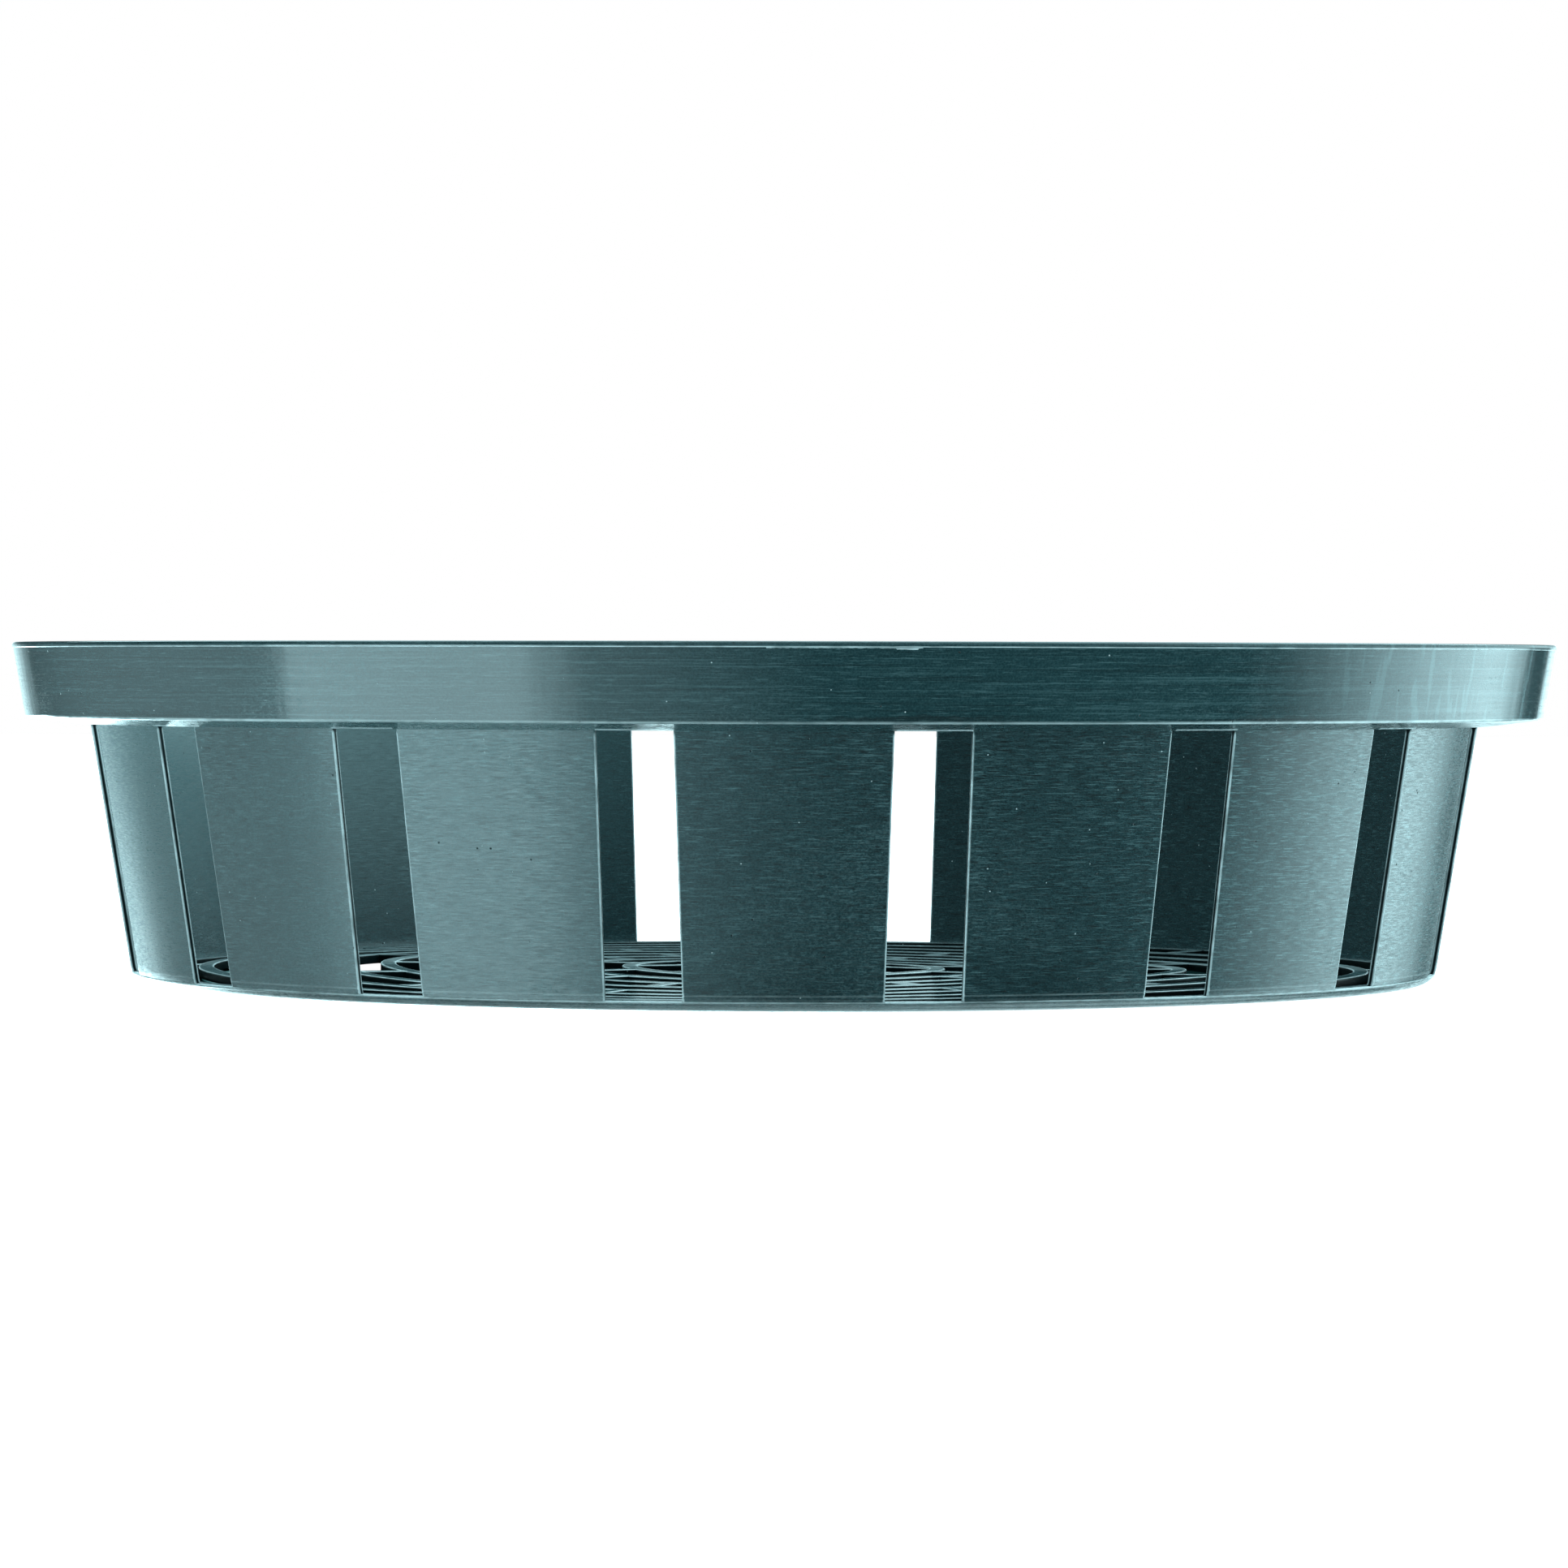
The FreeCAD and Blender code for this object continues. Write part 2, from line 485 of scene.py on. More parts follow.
panel = panels_tree.add("GeometryNodeSetPosition", swept, named={"Position": bent}).outputs[0]
spots = panels_tree.add("GeometryNodePoints", given["Panels"]).outputs[0]
number = panels_tree.add("GeometryNodeInputIndex").outputs[0]
panel_turn = panels_tree.times(number, panels_tree.times(half_share, 2.0))
spin = panels_tree.add("ShaderNodeCombineXYZ", 0.0, 0.0, panel_turn).outputs[0]
stood = panels_tree.add("GeometryNodeInstanceOnPoints", spots,
                        named={"Instance": panel, "Rotation": spin}).outputs[0]
send_out(panels_tree, panels_tree.add("GeometryNodeRealizeInstances", stood).outputs[0])
print("panel tree:", len(panels_tree.tree.nodes), "nodes")

# %% [markdown]
# ## One panel drawn
#
# The tree needs two lines. The rail says how far out the wall is at a number of
# heights, close together at the foot, where it runs inside the foot's round. The strip
# is the panel's section, with points along its long sides so that it can bend. The
# strip stays a hair inside the foot, so the two never share a face.

# %% The panel's outline and its rail
INSET = 0.03 * MM
PANEL_HALF = 17.4 * MM
PANEL_ROUND = 0.22 * MM
FOOT_MARKS = (1.2, 1.5, 1.7, 1.9, 2.1, 2.3)
WALL_MARKS = (2.6, 3.2, 8, 16, 24, 32, 40, 45.5, 46.6)
BEND_MARKS = (-0.9, -0.75, -0.6, -0.45, -0.3, -0.15, 0, 0.15, 0.3, 0.45, 0.6, 0.75, 0.9)
panel_back = -SKIN + INSET
rail_marks = [(foot_radius(z * MM) - INSET, z * MM) for z in FOOT_MARKS]
rail_marks += [(wall_radius(z * MM), z * MM) for z in WALL_MARKS]
rail_points = [(0.0, 0.0, z) for r, z in rail_marks]
strip_points = rounded([
    (0.0, -PANEL_HALF, PANEL_ROUND), (0.0, PANEL_HALF, PANEL_ROUND),
    (panel_back, PANEL_HALF, PANEL_ROUND), (panel_back, -PANEL_HALF, PANEL_ROUND)])
long_side = [y * PANEL_HALF for y in BEND_MARKS]
front_cut = max(i for i, p in enumerate(strip_points) if p[0] > -0.5 * SKIN and p[1] < 0) + 1
back_cut = max(i for i, p in enumerate(strip_points) if p[0] < -0.5 * SKIN and p[1] > 0) + 1
strip_points = (strip_points[:front_cut] + [Vector((0.0, y)) for y in long_side]
                + strip_points[front_cut:back_cut]
                + [Vector((panel_back, y)) for y in reversed(long_side)] + strip_points[back_cut:])
wall = drawing("wall_part", [(strip_points, True), (rail_points, False)])
wall.data.attributes.new("rail", "BOOLEAN", "POINT")
wall.data.attributes.new("wall_radius", "FLOAT", "POINT")
for i, (r, z) in enumerate(rail_marks, len(strip_points)):
    wall.data.attributes["rail"].data[i].value = True
    wall.data.attributes["wall_radius"].data[i].value = r
grow(wall, panels_tree, Panels=SLOT_COUNT, Slot_Width=SLOT_WIDTH, Drawn_Half_Width=PANEL_HALF)
settled(wall)
print("wall volume mm3, open edges, triangles:", measured(wall), "extents", extents(wall))

# %% [markdown]
# ## The floor
#
# The floor is a lattice: nine thin rings joined by short webs, eight webs to a row,
# and each row is turned half a step from the last. Seen through the slots, almost
# edge on, the rings' tall sides and thin bright top edges make the pattern of lines.
# Circles of different size are instanced from one circle and swept with one small
# rounded bar. The webs are the same bar, narrower, instanced along every row.

# %% The lattice tree
WEB_POINTS = 6
lattice = geometry_bench("floor lattice", {
    "Rings": "Int", "First Radius": "Float", "Pitch": "Float", "Steps Round": "Int",
    "Rows": "Int", "Webs": "Int", "Web Share": "Float", "Web Length": "Float"})
given = lattice.given
bar = lattice.add("GeometryNodeMeshToCurve", given["Geometry"]).outputs[0]
index = lattice.add("GeometryNodeInputIndex").outputs[0]
ring_spots = lattice.add("GeometryNodePoints", given["Rings"]).outputs[0]
ring_radius = lattice.math("SUBTRACT", given["First Radius"], lattice.times(index, given["Pitch"]))
one_circle = lattice.add("GeometryNodeCurvePrimitiveCircle", given["Steps Round"],
                         named={"Radius": 1.0}).outputs[0]
sizes = lattice.add("ShaderNodeCombineXYZ", ring_radius, ring_radius, 1.0).outputs[0]
circles = lattice.add("GeometryNodeInstanceOnPoints", ring_spots,
                      named={"Instance": one_circle, "Scale": sizes}).outputs[0]
circles = lattice.add("GeometryNodeRealizeInstances", circles).outputs[0]
rings = lattice.add("GeometryNodeCurveToMesh", circles, bar).outputs[0]

web_spots = lattice.add("GeometryNodePoints", lattice.times(given["Rows"], given["Webs"])).outputs[0]
row = lattice.math("FLOOR", lattice.math("DIVIDE", lattice.plus(index, 0.5), given["Webs"]))
step = lattice.math("DIVIDE", 2 * math.pi, given["Webs"])
half_turned = lattice.times(lattice.math("MODULO", row, 2.0), 0.5)
web_turn = lattice.times(lattice.plus(index, half_turned), step)
half_pitch = lattice.times(given["Pitch"], 0.5)
row_radius = lattice.math("SUBTRACT", lattice.plus(given["First Radius"], half_pitch),
                          lattice.times(row, given["Pitch"]))
web_place = lattice.add("ShaderNodeCombineXYZ",
                        lattice.times(row_radius, lattice.math("COSINE", web_turn)),
                        lattice.times(row_radius, lattice.math("SINE", web_turn))).outputs[0]
web_spots = lattice.add("GeometryNodeSetPosition", web_spots,
                        named={"Position": web_place}).outputs[0]
half_web = lattice.times(given["Web Length"], 0.5)
web_line = lattice.add("GeometryNodeCurvePrimitiveLine",
                       lattice.add("ShaderNodeCombineXYZ", lattice.times(half_web, -1.0)).outputs[0],
                       lattice.add("ShaderNodeCombineXYZ", half_web).outputs[0]).outputs[0]
web_line = lattice.add("GeometryNodeResampleCurve", web_line, named={"Count": WEB_POINTS}).outputs[0]
slim = lattice.add("ShaderNodeCombineXYZ", given["Web Share"], 1.0, 1.0).outputs[0]
slim_bar = lattice.add("GeometryNodeTransform", bar, named={"Scale": slim}).outputs[0]
web = lattice.add("GeometryNodeCurveToMesh", web_line, slim_bar, named={"Fill Caps": True}).outputs[0]
web_spin = lattice.add("ShaderNodeCombineXYZ", 0.0, 0.0, web_turn).outputs[0]
webs = lattice.add("GeometryNodeInstanceOnPoints", web_spots,
                   named={"Instance": web, "Rotation": web_spin}).outputs[0]
webs = lattice.add("GeometryNodeRealizeInstances", webs).outputs[0]
both = lattice.add("GeometryNodeJoinGeometry")
lattice.plug(rings, both.inputs[0])
lattice.plug(webs, both.inputs[0])
send_out(lattice, both.outputs[0])
print("lattice tree:", len(lattice.tree.nodes), "nodes")

# %% Grow the lattice
BAR_ROUND = 0.18 * MM
RING_STEPS = 144
WEB_OVERLAP = 1.2 * MM
half_ring = RING_WIDTH / 2
bar_points = rounded([
    (half_ring, 0, BAR_ROUND), (half_ring, -FLOOR_TOP, BAR_ROUND),
    (-half_ring, -FLOOR_TOP, BAR_ROUND), (-half_ring, 0, BAR_ROUND)], steps=3)
bar_points.reverse()
floor_part = drawing("floor_part", [(bar_points, True)])
first_ring = LATTICE_RADIUS - OPENING_DEPTH - half_ring
grow(floor_part, lattice, Rings=ROWS - 1, First_Radius=first_ring, Pitch=RING_PITCH,
     Steps_Round=RING_STEPS, Rows=ROWS, Webs=WEB_COUNT, Web_Share=WEB_WIDTH / RING_WIDTH,
     Web_Length=OPENING_DEPTH + WEB_OVERLAP)
settled(floor_part)
print("floor volume mm3, open edges, triangles:", measured(floor_part), "extents", extents(floor_part))

# %% The hub
HUB_STEPS = 64
hub_section = rounded([
    (0.0, 0.0, 0), (HUB_RADIUS, 0.0, BAR_ROUND), (HUB_RADIUS, FLOOR_TOP, BAR_ROUND),
    (0.0, FLOOR_TOP, 0)], closed=False)
hub = turned_part("hub_part", hub_section, closed=False, steps=HUB_STEPS)
print("hub extents", extents(hub))

# %% [markdown]
# ## The warp of the floor
#
# Thin plastic never cools quite flat. The floor of this basket rises on its left,
# sinks a little in front and is twisted on its right, and its middle is domed. A sum
# of a few powers of x and y gives such a slow bend: each entry of BENDS is the power
# of x, the power of y and an amount in millimetres. The bend fades out at the border,
# where the wall holds the floor level, and a low hump is added for the middle. The
# underside can't go below the ground it stands on, so it is held at zero.

# %% The warp tree
BENDS = [(0, 0, -0.14), (1, 0, -0.85), (0, 1, 0.2), (2, 0, 3.05), (1, 1, -3.4), (0, 2, -1.05),
         (3, 0, -1.35), (2, 1, -3.8), (1, 2, 1.9), (0, 3, 0.4)]
HUMP_HEIGHT = 1.05 * MM
HUMP_RADIUS = 25 * MM
warping = geometry_bench("floor warp", {
    "Bend": "Float", "Hump": "Float", "Hump Radius": "Float", "Border Radius": "Float"})
given = warping.given
place = warping.add("GeometryNodeInputPosition").outputs[0]
xyz = warping.add("ShaderNodeSeparateXYZ", place).outputs
x_share = warping.math("DIVIDE", xyz[0], given["Border Radius"])
y_share = warping.math("DIVIDE", xyz[1], given["Border Radius"])
bend = 0.0
for x_power, y_power, amount in BENDS:
    term = amount
    for _ in range(x_power):
        term = warping.times(x_share, term)
    for _ in range(y_power):
        term = warping.times(y_share, term)
    bend = warping.plus(term, bend)
squares = warping.plus(warping.times(x_share, x_share), warping.times(y_share, y_share))
fade = warping.math("SUBTRACT", 1.0, squares, clamp=True)
bend = warping.times(bend, fade, given["Bend"])
steepness = warping.math("DIVIDE", given["Border Radius"], given["Hump Radius"])
fall = warping.times(squares, warping.times(steepness, steepness))
hump = warping.times(warping.math("EXPONENT", warping.times(fall, -1.0)), given["Hump"])
lifted = warping.math("MAXIMUM", warping.plus(xyz[2], warping.plus(bend, hump)), 0.0)
lifted = warping.add("ShaderNodeCombineXYZ", xyz[0], xyz[1], lifted).outputs[0]
send_out(warping, warping.add("GeometryNodeSetPosition", given["Geometry"],
                              named={"Position": lifted}).outputs[0])
for part in (floor_part, hub):
    grow(part, warping, Bend=1.0 * MM, Hump=HUMP_HEIGHT, Hump_Radius=HUMP_RADIUS,
         Border_Radius=LATTICE_RADIUS)
    settled(part)
    print(part.name, "now has the extents", extents(part))

# %% [markdown]
# ## One moulding
#
# The parts overlap a little. A boolean union makes them one closed skin, as the
# moulding is one piece. The tree then finds the narrow rounds by the angle between
# neighbouring faces and stores how pale they are: partly wear, as plastic goes pale
# there first, and partly a painted highlight, as a narrow round catches the light.
# Creases where parts meet are marked sharp, and everything else is shaded smooth.

# %% The joining tree
WEAR_AND_HIGHLIGHT_PER_RADIAN = 2.5
moulding = geometry_bench("one moulding", {
    "Foot": "Object", "Wall": "Object", "Floor": "Object", "Hub": "Object", "Fin": "Object",
    "Crease": "Float", "Plastic": "Material"})
given = moulding.given
union = moulding.add("GeometryNodeMeshBoolean", operation="UNION", solver="MANIFOLD")
moulding.plug(given["Geometry"], union.inputs["Mesh 2"])
for label in ("Foot", "Wall", "Floor", "Hub", "Fin"):
    part = moulding.add("GeometryNodeObjectInfo", given[label])
    moulding.plug(part.outputs["Geometry"], union.inputs["Mesh 2"])
edge_angle = moulding.add("GeometryNodeInputMeshEdgeAngle").outputs
# How pale each round is: wear and a painted highlight
edge_wear_and_highlight = moulding.math("MULTIPLY", edge_angle["Signed Angle"], WEAR_AND_HIGHLIGHT_PER_RADIAN, clamp=True)
stored = moulding.add("GeometryNodeStoreNamedAttribute", union.outputs["Mesh"], None,
                      "worn_and_highlit_edge", edge_wear_and_highlight).outputs[0]
smooth = moulding.add("GeometryNodeSetShadeSmooth", stored, None, True).outputs[0]
creased = moulding.math("GREATER_THAN", edge_angle["Unsigned Angle"], given["Crease"])
sharp = moulding.add("GeometryNodeSetShadeSmooth", smooth, creased, False, domain="EDGE").outputs[0]
real = moulding.add("GeometryNodeRealizeInstances", sharp).outputs[0]
coated = moulding.add("GeometryNodeSetMaterial", real, named={"Material": given["Plastic"]})
send_out(moulding, coated.outputs[0])
print("joining tree:", len(moulding.tree.nodes), "nodes")

# %% Join the parts
CREASE = math.radians(32)
plastic = bpy.data.materials.new("teal_plastic")
plastic.use_nodes = True
basket = rim
basket.name = "basket_moulding"
grow(basket, moulding, Foot=foot, Wall=wall, Floor=floor_part, Hub=hub, Fin=fin,
     Crease=CREASE, Plastic=plastic)
settled(basket)
for part in (foot, wall, floor_part, hub, fin):
    bpy.data.objects.remove(part)
print("basket volume mm3, open edges, triangles:", measured(basket))
print("materials", [m.name for m in basket.data.materials])

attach(basket, "root")
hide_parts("basket")

# %% [markdown]
# ## The plastic
#
# The basket is dark blue-green plastic with a low gloss. Its surface isn't even: the
# mould left fine level scratches all over the wall, the band is smoother and mirrors
# more, the edges are pale, partly from wear and partly as a painted highlight, and
# dust and scuffs lie on it. A flat colour would look like a toy. Each of these is a
# layer of procedural noise on the object's own coordinates, so nothing slides when the
# view changes. Some layers are painted light and shade: darker cut sides and paler
# patches where the light falls.

# %% Measures that the layers share
skin = Bench(plastic.node_tree)
surface = plastic.node_tree.nodes["Principled BSDF"]
place = skin.add("ShaderNodeTexCoord").outputs["Object"]
x_here, y_here, height = skin.add("ShaderNodeSeparateXYZ", place).outputs


def grains(across, up, detail=2.0, roughness=0.5):
    """Noise whose grains are 1/across metres long round the wall and 1/up metres high."""
    stretched = skin.vector("MULTIPLY", place, (across, across, up))
    pattern = skin.add("ShaderNodeTexNoise", named={
        "Vector": stretched, "Scale": 1.0, "Detail": detail, "Roughness": roughness})
    return pattern.outputs["Fac"]


print("noise helper ready for", plastic.name)

# %% [markdown]
# ## Where on the basket
#
# Wear depends on the place: the band is glossier than the wall, and the cut sides of
# the slots and rings are painted darker than their tops, a painted shade because little
# light gets in. The layers read such places from plain measures: the height, the
# distance from the axis, how far it is round to the middle of the nearest slot, and
# which way a face looks. That last one is a cosine: 1 is straight out or straight up,
# 0 is across and -1 is the other way.

# %% Masks for the places
LEVEL_PART = (1.0, 1.0, 0.0)
FLOOR_END = 115.5 * MM
NOTCH_START = 126.2 * MM
LEAST_DEPTH = 50 * MM
SLOT_STEP = 2 * math.pi / SLOT_COUNT
level_place = skin.vector("MULTIPLY", place, LEVEL_PART)
from_axis = skin.vector_number("LENGTH", level_place)
face_way = skin.add("ShaderNodeTexCoord").outputs["Normal"]
outward = skin.vector_number("DOT_PRODUCT", skin.vector("NORMALIZE", level_place), face_way)
up = skin.add("ShaderNodeSeparateXYZ", face_way).outputs[2]
outside = skin.ramp(outward, 0.1, 0.4)
on_band = skin.ramp(height, 47.2 * MM, 47.8 * MM)
on_floor = skin.math("LESS_THAN", from_axis, FLOOR_END)
not_up = skin.ramp(up, 0.35, 0.1)
not_down = skin.ramp(up, -0.35, -0.1)
sideways = skin.ramp(skin.math("ABSOLUTE", outward), 0.4, 0.2)
below_notch = skin.math("LESS_THAN", height, SLOT_TOP - 0.1 * MM)
wall_side = skin.times(sideways, not_up, not_down, below_notch)
# Painted shade: the cut sides of the slots and rings, where little light gets in, get a near-black
# colour and little shine
shaded_side = skin.math("MAXIMUM", skin.times(on_floor, not_up), wall_side)

turn_here = skin.math("WRAP", skin.math("ARCTAN2", y_here, x_here), 0.0, SLOT_STEP)
round_from_slot = skin.times(skin.math("SUBTRACT", turn_here, SLOT_STEP / 2), from_axis)
from_slot = skin.math("ABSOLUTE", round_from_slot)
in_slot = skin.math("LESS_THAN", from_slot, SLOT_WIDTH / 2 - 0.1 * MM)
near_slot = skin.ramp(from_slot, SLOT_WIDTH / 2 + 6 * MM, SLOT_WIDTH / 2 + 1 * MM)
depth_in_front = skin.math("MAXIMUM", skin.times(y_here, -1.0), LEAST_DEPTH)
slant = skin.math("DIVIDE", x_here, depth_in_front)
shift = skin.times(skin.math("SUBTRACT", from_axis, NOTCH_START), slant)
over_slot = skin.math("ABSOLUTE", skin.plus(round_from_slot, shift))
over_slot = skin.math("LESS_THAN", over_slot, SLOT_WIDTH / 2)
on_right = skin.ramp(x_here, 45 * MM, 90 * MM)
at_back = skin.ramp(y_here, -15 * MM, 25 * MM)
print("masks wired:", len(plastic.node_tree.nodes), "nodes")

# %% [markdown]
# ## Scratches, scuffs and dust
#
# The wall's scratches are level and short, and the band's are level and long, so the
# noise is stretched sideways. Noise lies mostly between 0.3 and 0.7: a ramp near the
# upper end keeps its high parts as pale lines, and one near the lower end its low
# parts as dark ones. Scuffs show in patches. Dust and pits are dots in some cells of
# a Voronoi pattern.

# %% Lines, scuffs and specks
grain = grains(3000, 3400, 3.0, 0.7)
short_lines = grains(420, 4200, 3.0, 0.65)
long_lines = grains(22, 2300, 3.0, 0.65)
lines = skin.blend(on_band, short_lines, long_lines)
pale_lines = skin.ramp(lines, 0.55, 0.67)
dark_lines = skin.ramp(lines, 0.45, 0.34)
hairlines = skin.ramp(grains(300, 6000, 2.0, 0.5), 0.58, 0.66)
flecks = skin.ramp(grain, 0.38, 0.62)
patches = skin.ramp(grains(30, 44, 3.0), 0.44, 0.64)
mottle = skin.ramp(grains(1600, 3000, 3.0, 0.65), 0.48, 0.66)
scuffs = skin.times(patches, mottle, outside)


def specks(cells, size, share_of_cells):
    """Small round specks: one in some of the cells of a Voronoi pattern."""
    cell = skin.add("ShaderNodeTexVoronoi", named={"Vector": place, "Scale": cells})
    dot = skin.ramp(cell.outputs["Distance"], size, size * 0.5)
    chance = skin.add("ShaderNodeSeparateColor", cell.outputs["Color"]).outputs[0]
    return skin.times(dot, skin.math("LESS_THAN", chance, share_of_cells))


dust = specks(420, 0.065, 0.3)
pits = specks(330, 0.07, 0.35)
print("lines and specks wired:", len(plastic.node_tree.nodes), "nodes")

# %% [markdown]
# ## Pale edges: wear and painted highlight
#
# Rounds that stick out are pale: partly wear where they were rubbed, partly a
# painted highlight where a narrow round catches the light. The pale is broken up by
# noise, and it is weaker on the band's edge in front, on the far floor and on the top
# of the lip. Two more edges get a painted highlight though they hardly stick out: the
# line where each slot's notch cuts the underside of the shelf, and the ragged sill
# below it.

# %% Worn edges and painted highlights
BAND_EDGE_UP = (45.6 * MM, 46.2 * MM)
BAND_EDGE_DOWN = (49 * MM, 48.4 * MM)
LIP_FADE = (60.45 * MM, 60.15 * MM)
NOTCH_LINE_FROM, NOTCH_LINE_TO = 127.6 * MM, 130.2 * MM
SILL_RADIUS, SILL_TOP = 117.6 * MM, 1.9 * MM
SILL_FOOT, SILL_RAGGED = 1.72 * MM, 0.35 * MM
wear_and_highlight = skin.add("ShaderNodeAttribute", attribute_name="worn_and_highlit_edge").outputs["Fac"]
broken = skin.ramp(grains(260, 260, 2.0), 0.30, 0.60)
wear_and_highlight = skin.times(skin.ramp(wear_and_highlight, 0.10, 0.32), skin.blend(broken, 0.45, 1.0))
at_side = skin.ramp(skin.math("ABSOLUTE", x_here), 55 * MM, 105 * MM)
by_band = skin.times(skin.ramp(height, *BAND_EDGE_UP), skin.ramp(height, *BAND_EDGE_DOWN))
band_edge_share = skin.blend(by_band, 1.0, skin.blend(at_side, 0.35, 0.9))
floor_edge_share = skin.blend(on_floor, 1.0, skin.blend(at_back, 0.75, 0.15))
off_floor_sides = skin.rest(skin.times(shaded_side, on_floor))
wear_and_highlight = skin.times(wear_and_highlight, band_edge_share, floor_edge_share, skin.ramp(height, *LIP_FADE), off_floor_sides)
at_notch = skin.times(skin.math("GREATER_THAN", from_axis, NOTCH_LINE_FROM),
                      skin.math("LESS_THAN", from_axis, NOTCH_LINE_TO))
# Painted highlight along the notch's edge under the shelf
notch_line = skin.times(over_slot, at_notch, skin.ramp(up, -0.5, -0.8))
wear_and_highlight = skin.math("MAXIMUM", wear_and_highlight, skin.times(notch_line, 0.9))
# Painted highlight on the sill at the foot of each slot
sill_foot = skin.plus(skin.times(grains(900, 900), -SILL_RAGGED), SILL_FOOT)
sill = skin.times(skin.math("GREATER_THAN", height, sill_foot),
                  skin.math("LESS_THAN", height, SILL_TOP), in_slot,
                  skin.math("GREATER_THAN", from_axis, SILL_RADIUS))
wear_and_highlight = skin.math("MAXIMUM", wear_and_highlight, sill)
print("worn edges wired:", len(plastic.node_tree.nodes), "nodes")

# %% [markdown]
# ## Tide mark, painted light and upright streaks
#
# Dried water left a dark tide mark above the band's bottom edge, in some places only.
# The wall is painted paler at the far left outside, a painted reflection, and high on
# its inside towards the left, painted light from above. On the right of the band there
# are pale upright streaks.

# %% Tide mark, painted light and streaks
TIDE_FOOT, TIDE_RAGGED = 47.3 * MM, 3.2 * MM
tide_top = skin.plus(skin.times(grains(330, 330, 3.0, 0.6), TIDE_RAGGED), TIDE_FOOT)
tide_patches = skin.ramp(grains(25, 25, 1.0), 0.42, 0.6)
tide = skin.times(skin.math("LESS_THAN", height, tide_top), on_band, tide_patches)
# Pale upright streaks on the right of the band's outside
upright_streaks = skin.ramp(grains(400, 3, 2.0), 0.54, 0.62)
upright_streaks = skin.times(upright_streaks, on_band, skin.ramp(x_here, 85 * MM, 108 * MM), outside)
at_left = skin.ramp(x_here, -98 * MM, -117 * MM)
# Painted reflection: paler colour on the far-left outside of the wall
far_left_painted_light = skin.math("MULTIPLY", at_left, skin.math("SUBTRACT", outside, on_band), clamp=True)
# Painted light: paler high on the inside, towards the left
inside_painted_light = skin.times(skin.ramp(height, 4 * MM, 45 * MM), skin.ramp(x_here, 10 * MM, -60 * MM),
                         skin.rest(outside), skin.rest(on_floor))
painted_light = skin.math("MAXIMUM", far_left_painted_light, inside_painted_light, clamp=True)
print("layers wired:", len(plastic.node_tree.nodes), "nodes")

# %% [markdown]
# ## Colour
#
# The colour starts as fine flecks of two dark tones. Each layer is then laid over the
# last, as a painter glazes: a share of a pale, a bright or a black tone where the
# layer is strong. The shares are small on the glossy band and larger on the wall.

# %% Lay the colours over each other
DARK = (0.009, 0.036, 0.041, 1)
LIGHT = (0.040, 0.092, 0.102, 1)
PALE = (0.26, 0.42, 0.44, 1)
BRIGHT = (0.84, 0.94, 0.96, 1)
BLACK = (0.001, 0.004, 0.005, 1)
WHITE = (1, 1, 1, 1)
fleck_share = skin.times(skin.blend(on_band, 0.75, 0.6), skin.blend(on_floor, 1.0, 0.4))
pale_share = skin.plus(skin.blend(near_slot, 0.15, 0.34), skin.times(on_right, 0.2))
pale_share = skin.blend(on_band, pale_share, 0.14)
hair_share = skin.times(skin.blend(on_right, 0.22, 0.5), outside)
hair_share = skin.blend(on_band, hair_share, 0.15)
colour = skin.tinted(skin.times(flecks, fleck_share), DARK, LIGHT)
for layer, share, tone in (
        (pale_lines, pale_share, PALE),
        (hairlines, hair_share, PALE),
        (dark_lines, skin.blend(on_band, 0.7, 0.4), BLACK),
        (scuffs, 0.12, PALE),
        (upright_streaks, 0.24, PALE),
        # Painted light and painted reflection
        (painted_light, 0.3, PALE),
        (tide, 0.35, BLACK),
        # Painted shade: near-black laid over the cut sides
        (shaded_side, 0.9, BLACK),
        # Wear and painted highlight on the edges
        (wear_and_highlight, 0.9, BRIGHT),
        (pits, 0.9, BLACK),
        (dust, 0.8, BRIGHT)):
    colour = skin.tinted(skin.times(layer, share), colour, tone)
skin.plug(colour, surface.inputs["Base Color"])
print("colour wired:", len(plastic.node_tree.nodes), "nodes")

# %% [markdown]
# ## Gloss
#
# The scratches break up the mirror image, so they change the roughness too. Scuffs,
# dirt and the far-left patch of painted light are duller. The floor shines in front and
# is dull further back. The cut sides hardly mirror at all: a tint takes most of their
# shine away, as part of their painted shade.

# %% Roughness and shine
SHADED_SIDE_SHINE = (0.1, 0.1, 0.1, 1)
wall_rough = skin.blend(skin.ramp(short_lines, 0.38, 0.62), 0.36, 0.18)
band_rough = skin.blend(skin.ramp(long_lines, 0.38, 0.62), 0.13, 0.05)
rough = skin.plus(skin.blend(on_band, wall_rough, band_rough), skin.times(scuffs, 0.2),
                  skin.times(tide, 0.15), skin.times(far_left_painted_light, 0.12))
rough = skin.math("MAXIMUM", rough, skin.times(skin.math("MAXIMUM", dust, pits), 0.9))
rough = skin.blend(on_floor, rough, skin.blend(at_back, 0.15, 0.75))
rough = skin.blend(shaded_side, rough, 0.3)
skin.plug(rough, surface.inputs["Roughness"])
surface.inputs["Specular IOR Level"].default_value = 0.5
# Painted shade: the tint takes most of the cut sides' shine away
skin.plug(skin.tinted(shaded_side, WHITE, SHADED_SIDE_SHINE), surface.inputs["Specular Tint"])
print("gloss wired:", len(plastic.node_tree.nodes), "nodes")

# %% [markdown]
# ## Relief
#
# The lines and grains are a few hundredths of a millimetre deep, and the band has a
# slow upright ripple. This is too fine for the mesh, so it is bump, in millimetres.

